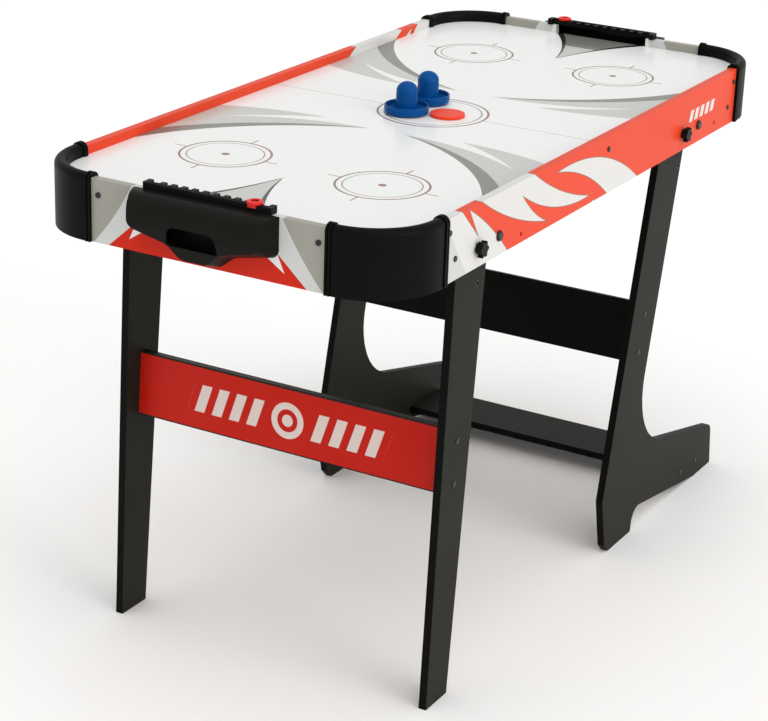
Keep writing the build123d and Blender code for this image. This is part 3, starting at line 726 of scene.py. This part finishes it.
# moulded plastics: the shared grain, then each one's own look and pieces
plastic = {
    "sparkSize": 0.7,
    "sparkShare": 0.12,
    "driftSize": 45,
    "driftShare": 0.35,
    "roughnessDrift": 0.1,
    "lighter": 1.7,
    "lift": 0.004,
    "gloss": 0.06,
    "coatRoughness": 0.12,
}
plastics = {
    "capPlastic": {"colour": tint(5, 5, 4), "roughness": 0.42, "grain": 0.035, "coat": 0,
                   "pieces": each("corner_cap_", corners)},
    "goalPlastic": {"colour": tint(18, 18, 15), "roughness": 0.38, "grain": 0.03, "coat": 0,
                    "pieces": each("goal_box_", ends)},
    "barPlastic": {"colour": tint(12, 12, 11), "roughness": 0.36, "grain": 0.02, "coat": 0,
                   "pieces": each("score_bar_", ends)},
    "knobPlastic": {"colour": tint(13, 13, 12), "roughness": 0.3, "grain": 0.02, "coat": 0,
                    "pieces": each("lock_knob_", corners)},
    "switchPlastic": {"colour": tint(24, 24, 24), "roughness": 0.45, "grain": 0.03, "coat": 0,
                      "pieces": ["switch_plate", "power_rocker"]},
    "fanPlastic": {"colour": tint(34, 34, 35), "roughness": 0.5, "grain": 0.03, "coat": 0,
                   "pieces": ["fan_housing", "fan_impeller"]},
    "puckPlastic": {"colour": tint(226, 60, 34), "roughness": 0.34, "grain": 0.015, "coat": 0.05,
                    "pieces": ["puck"]},
    "sliderPlastic": {"colour": tint(206, 28, 22), "roughness": 0.28, "grain": 0.015, "coat": 0.3,
                      "pieces": each("score_slider_", ends)},
    "pusherPlastic": {"colour": tint(0, 66, 128), "roughness": 0.25, "grain": 0.015, "coat": 0.03,
                      "pieces": [*each("pusher_", ends), *each("turnedPusher_", ends)]},
}


def mouldedPlastic(name, look):
    # near-even colour, a fine spark grain and a slow drift of gloss
    finish = Finish(name)
    spark = finish.clouds(plastic["sparkSize"], 2)
    drift = finish.clouds(plastic["driftSize"])
    lighter = [min(1, part * plastic["lighter"] + plastic["lift"]) for part in look["colour"][:3]]
    share = drift * plastic["driftShare"] + spark * plastic["sparkShare"]
    finish.wear({
        "Base Color": finish.mix(share, look["colour"], (*lighter, 1)),
        "Roughness": look["roughness"] + (drift - 0.5) * plastic["roughnessDrift"],
        "Specular IOR Level": plastic["gloss"],
        "Coat Weight": look["coat"],
        "Coat Roughness": plastic["coatRoughness"],
    })
    finish.relief(spark, look["grain"])
    finish.onto(*look["pieces"])


for name, look in plastics.items():
    mouldedPlastic(name, look)

# metals: the shared grain, then each one's own look and pieces
steel = {
    "grainSize": 0.35,
    "grainRoughness": 0.06,
    "cloudSize": 6,
    "cloudShare": 0.5,
    "cloudRoughness": 0.2,
    "darker": 0.6,
    "depth": 0.02,
}
metals = {
    "zincPlate": {"colour": tint(196, 196, 190), "roughness": 0.34, "metallic": 1,
                  "pieces": ["fan_guard", "fan_screws", "pivot_nuts", "power_socket",
                             *each("lock_stud_", corners)]},
    "motorCan": {"colour": tint(150, 150, 152), "roughness": 0.4, "metallic": 1,
                 "pieces": ["fan_motor"]},
    "blackSteel": {"colour": tint(24, 24, 24), "roughness": 0.36, "metallic": 0.3,
                   "pieces": ["apron_screws", "pivot_bolts", *each("i_leg_", ("bolts", "inserts")),
                              *each("l_leg_", ("bolts", "inserts"))]},
}


def metal(name, look):
    # plated or blackened steel: a fine grain and cloudy gloss
    finish = Finish(name)
    grain = finish.clouds(steel["grainSize"], 2)
    clouds = finish.clouds(steel["cloudSize"])
    darker = [part * steel["darker"] for part in look["colour"][:3]]
    roughness = look["roughness"] + (clouds - 0.5) * steel["cloudRoughness"]
    finish.wear({
        "Base Color": finish.mix(clouds * steel["cloudShare"], look["colour"], (*darker, 1)),
        "Roughness": roughness + grain * steel["grainRoughness"],
        "Metallic": look["metallic"],
    })
    finish.relief(grain, steel["depth"])
    finish.onto(*look["pieces"])


for name, look in metals.items():
    metal(name, look)

# felt pads under the pushers
felt = {
    "dark": tint(40, 40, 42),
    "pale": tint(96, 96, 98),
    "fibreSize": 0.6,
    "fibreDraws": [(1, 0.3, 1), (0.3, 1, 1)],
    "fibreShare": 0.5,
    "roughness": 0.95,
    "sheen": 0.3,
    "depth": 0.2,
}


def feltPads():
    # pressed grey felt: crossed soft fibres with a dull sheen
    finish = Finish("padFelt")
    over, across = [finish.clouds(felt["fibreSize"], 5, draw) for draw in felt["fibreDraws"]]
    fibres = over + across
    finish.wear({
        "Base Color": finish.mix(fibres * felt["fibreShare"], felt["dark"], felt["pale"]),
        "Roughness": felt["roughness"],
        "Sheen Weight": felt["sheen"],
    })
    finish.relief(fibres, felt["depth"])
    finish.onto(*each("felt_pad_", ends))


feltPads()
print("plastics, metals and felt made")

# floor, light and camera; a sun leans from overhead and is turned round from the right
studio = {
    "floorShade": tint(251, 251, 250),
    "floorCloud": (0.7, 0.7, 0.7, 1),
    "floorCloudSize": 400,
    "floorCloudShare": 0.02,
    "floorRoughness": 0.9,
    "floorGloss": 0.1,
    "floorReach": 14,
    "airShade": (1, 1, 1, 1),
    "airStrength": 0.79,
    "cameraPlace": (1.5715, -2.9230, 1.6207),
    "cameraTurn": (68.642, -1.821, 30.035),
    "cameraLens": 105.74,
}
lamps = {
    "overhead": {"lean": 18, "round": -50, "breadth": 60, "strength": 0.7},
    "windowRight": {"lean": 75, "round": -8, "breadth": 40, "strength": 1.2},
}


def laidFloor():
    # pale paper floor with a faint cloudiness
    finish = Finish("studioPaper")
    clouds = finish.clouds(studio["floorCloudSize"]) * studio["floorCloudShare"]
    finish.wear({
        "Base Color": finish.mix(clouds, studio["floorShade"], studio["floorCloud"]),
        "Roughness": studio["floorRoughness"],
        "Specular IOR Level": studio["floorGloss"],
    })
    reach = studio["floorReach"]
    places = [(-reach, -reach, 0), (reach, -reach, 0), (reach, reach, 0), (-reach, reach, 0)]
    mesh = bpy.data.meshes.new("studioFloor")
    mesh.from_pydata(places, [], [(0, 1, 2, 3)])
    floor = bpy.data.objects.new("studioFloor", mesh)
    bpy.context.scene.collection.objects.link(floor)
    finish.onto("studioFloor")


def hungLamp(name, look):
    light = bpy.data.lights.new(name, "SUN")
    light.angle = radians(look["breadth"])
    light.energy = look["strength"]
    holder = bpy.data.objects.new(name, light)
    bpy.context.scene.collection.objects.link(holder)
    holder.rotation_euler = (0, radians(look["lean"]), radians(look["round"]))


def studioAir():
    world = bpy.data.worlds.new("studioAir")
    world.use_nodes = True
    air = world.node_tree.nodes["Background"]
    air.inputs["Color"].default_value = studio["airShade"]
    air.inputs["Strength"].default_value = studio["airStrength"]
    bpy.context.scene.world = world
    bpy.context.scene.view_settings.view_transform = "Standard"


def studioCamera():
    camera = bpy.data.objects.new("studioCamera", bpy.data.cameras.new("studioCamera"))
    bpy.context.scene.collection.objects.link(camera)
    camera.location = studio["cameraPlace"]
    camera.rotation_euler = [radians(angle) for angle in studio["cameraTurn"]]
    camera.data.lens = studio["cameraLens"]
    bpy.context.scene.camera = camera


laidFloor()
for name, look in lamps.items():
    hungLamp(name, look)
studioAir()
studioCamera()
print("floor, light and camera set")

bpy.context.view_layer.update()
